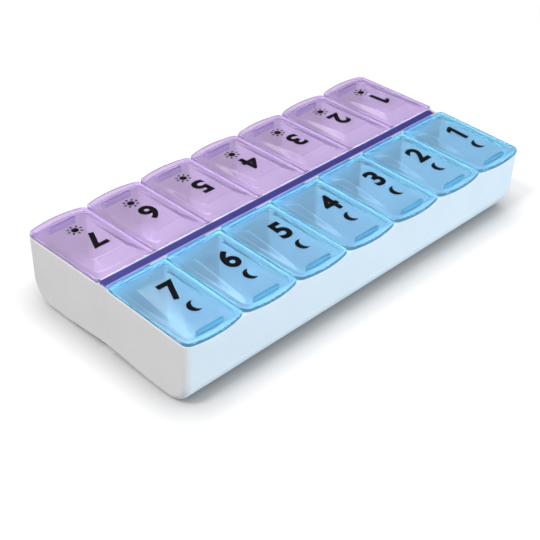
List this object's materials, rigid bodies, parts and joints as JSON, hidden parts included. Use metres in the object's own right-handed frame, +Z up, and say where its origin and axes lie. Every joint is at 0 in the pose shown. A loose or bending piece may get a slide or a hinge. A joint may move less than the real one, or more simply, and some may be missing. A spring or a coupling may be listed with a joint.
{
  "type": "weekly pill organizer",
  "caption": "Long white tray of open wells in a morning row and an evening row, each well closed by a translucent lid on a film hinge along the middle.",
  "frame": {"origin": "on the surface that the tray stands on, under the centre of the tray", "axes": "+X along the week towards day 1, +Y from the evening row towards the morning row, +Z up"},
  "size_m": [0.2104, 0.1038, 0.036],
  "materials": {
    "white_tray": "satin",
    "purple_lids": "satin",
    "blue_lids": "satin"
  },
  "bodies": {
    "tray": {"tray": "white_tray", "am_hinge_rail": "purple_lids", "pm_hinge_rail": "blue_lids", "am_film_hinge_1": "purple_lids", "am_film_hinge_2": "purple_lids", "am_film_hinge_3": "purple_lids", "am_film_hinge_4": "purple_lids", "am_film_hinge_5": "purple_lids", "am_film_hinge_6": "purple_lids", "am_film_hinge_7": "purple_lids", "pm_film_hinge_1": "blue_lids", "pm_film_hinge_2": "blue_lids", "pm_film_hinge_3": "blue_lids", "pm_film_hinge_4": "blue_lids", "pm_film_hinge_5": "blue_lids", "pm_film_hinge_6": "blue_lids", "pm_film_hinge_7": "blue_lids"},
    "am_lid_1": {"am_lid_1": "purple_lids"},
    "am_lid_2": {"am_lid_2": "purple_lids"},
    "am_lid_3": {"am_lid_3": "purple_lids"},
    "am_lid_4": {"am_lid_4": "purple_lids"},
    "am_lid_5": {"am_lid_5": "purple_lids"},
    "am_lid_6": {"am_lid_6": "purple_lids"},
    "am_lid_7": {"am_lid_7": "purple_lids"},
    "pm_lid_1": {"pm_lid_1": "blue_lids"},
    "pm_lid_2": {"pm_lid_2": "blue_lids"},
    "pm_lid_3": {"pm_lid_3": "blue_lids"},
    "pm_lid_4": {"pm_lid_4": "blue_lids"},
    "pm_lid_5": {"pm_lid_5": "blue_lids"},
    "pm_lid_6": {"pm_lid_6": "blue_lids"},
    "pm_lid_7": {"pm_lid_7": "blue_lids"}
  },
  "joints": [
    {"name": "am_lid_1_hinge", "type": "hinge", "parent": "tray", "child": "am_lid_1", "pos_m": [0.09, 0.0027, 0.03415], "axis": [1, 0, 0], "range_deg": [0, 90]},
    {"name": "am_lid_2_hinge", "type": "hinge", "parent": "tray", "child": "am_lid_2", "pos_m": [0.06, 0.0027, 0.03415], "axis": [1, 0, 0], "range_deg": [0, 90]},
    {"name": "am_lid_3_hinge", "type": "hinge", "parent": "tray", "child": "am_lid_3", "pos_m": [0.03, 0.0027, 0.03415], "axis": [1, 0, 0], "range_deg": [0, 90]},
    {"name": "am_lid_4_hinge", "type": "hinge", "parent": "tray", "child": "am_lid_4", "pos_m": [0, 0.0027, 0.03415], "axis": [1, 0, 0], "range_deg": [0, 90]},
    {"name": "am_lid_5_hinge", "type": "hinge", "parent": "tray", "child": "am_lid_5", "pos_m": [-0.03, 0.0027, 0.03415], "axis": [1, 0, 0], "range_deg": [0, 90]},
    {"name": "am_lid_6_hinge", "type": "hinge", "parent": "tray", "child": "am_lid_6", "pos_m": [-0.06, 0.0027, 0.03415], "axis": [1, 0, 0], "range_deg": [0, 90]},
    {"name": "am_lid_7_hinge", "type": "hinge", "parent": "tray", "child": "am_lid_7", "pos_m": [-0.09, 0.0027, 0.03415], "axis": [1, 0, 0], "range_deg": [0, 90]},
    {"name": "pm_lid_1_hinge", "type": "hinge", "parent": "tray", "child": "pm_lid_1", "pos_m": [0.09, -0.0027, 0.03415], "axis": [-1, 0, 0], "range_deg": [0, 90]},
    {"name": "pm_lid_2_hinge", "type": "hinge", "parent": "tray", "child": "pm_lid_2", "pos_m": [0.06, -0.0027, 0.03415], "axis": [-1, 0, 0], "range_deg": [0, 90]},
    {"name": "pm_lid_3_hinge", "type": "hinge", "parent": "tray", "child": "pm_lid_3", "pos_m": [0.03, -0.0027, 0.03415], "axis": [-1, 0, 0], "range_deg": [0, 90]},
    {"name": "pm_lid_4_hinge", "type": "hinge", "parent": "tray", "child": "pm_lid_4", "pos_m": [0, -0.0027, 0.03415], "axis": [-1, 0, 0], "range_deg": [0, 90]},
    {"name": "pm_lid_5_hinge", "type": "hinge", "parent": "tray", "child": "pm_lid_5", "pos_m": [-0.03, -0.0027, 0.03415], "axis": [-1, 0, 0], "range_deg": [0, 90]},
    {"name": "pm_lid_6_hinge", "type": "hinge", "parent": "tray", "child": "pm_lid_6", "pos_m": [-0.06, -0.0027, 0.03415], "axis": [-1, 0, 0], "range_deg": [0, 90]},
    {"name": "pm_lid_7_hinge", "type": "hinge", "parent": "tray", "child": "pm_lid_7", "pos_m": [-0.09, -0.0027, 0.03415], "axis": [-1, 0, 0], "range_deg": [0, 90]}
  ]
}
